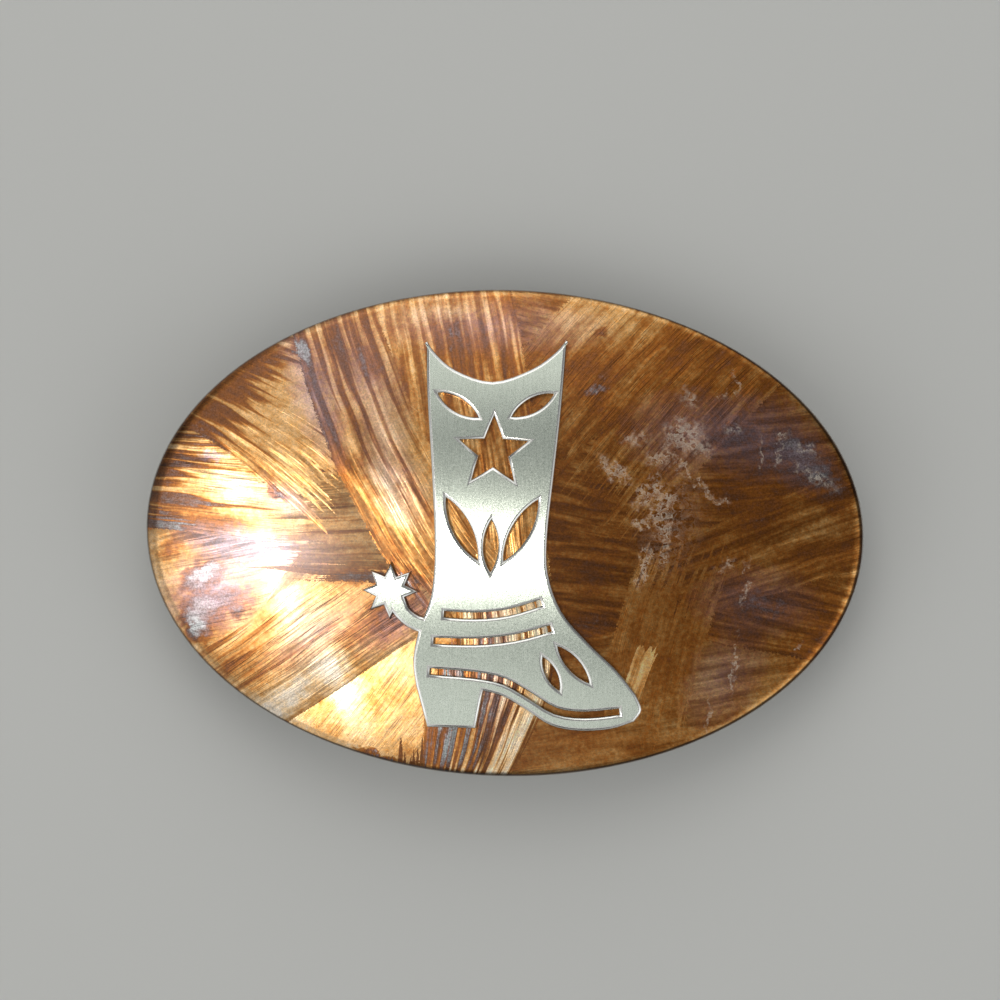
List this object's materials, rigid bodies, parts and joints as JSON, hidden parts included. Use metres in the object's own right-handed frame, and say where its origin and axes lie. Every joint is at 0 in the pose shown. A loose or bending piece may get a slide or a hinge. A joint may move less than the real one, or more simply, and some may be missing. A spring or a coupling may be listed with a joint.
{
  "type": "rodeo belt buckle",
  "caption": "Domed oval rodeo belt buckle in heat-tinted steel with a silver boot-and-spur overlay, and a wire belt loop and a leaning post on its back.",
  "frame": {"origin": "under the middle of the oval, on the level that the loop's bar and the post's tip stand on", "axes": "+X along the plate towards the belt loop, +Y across the plate towards the top of the boot, +Z out of the face"},
  "size_m": [0.0889, 0.0602, 0.0136],
  "materials": {
    "tinted_steel": "hand ground and heat tinted, bronze, gold and violet",
    "satin_silver": "satin nickel silver with a polished bevel",
    "nickel_plate": "nickel plated"
  },
  "bodies": {
    "root": {"face_plate": "tinted_steel", "boot_overlay": "satin_silver", "belt_loop": "nickel_plate", "belt_post": "nickel_plate"}
  },
  "joints": []
}
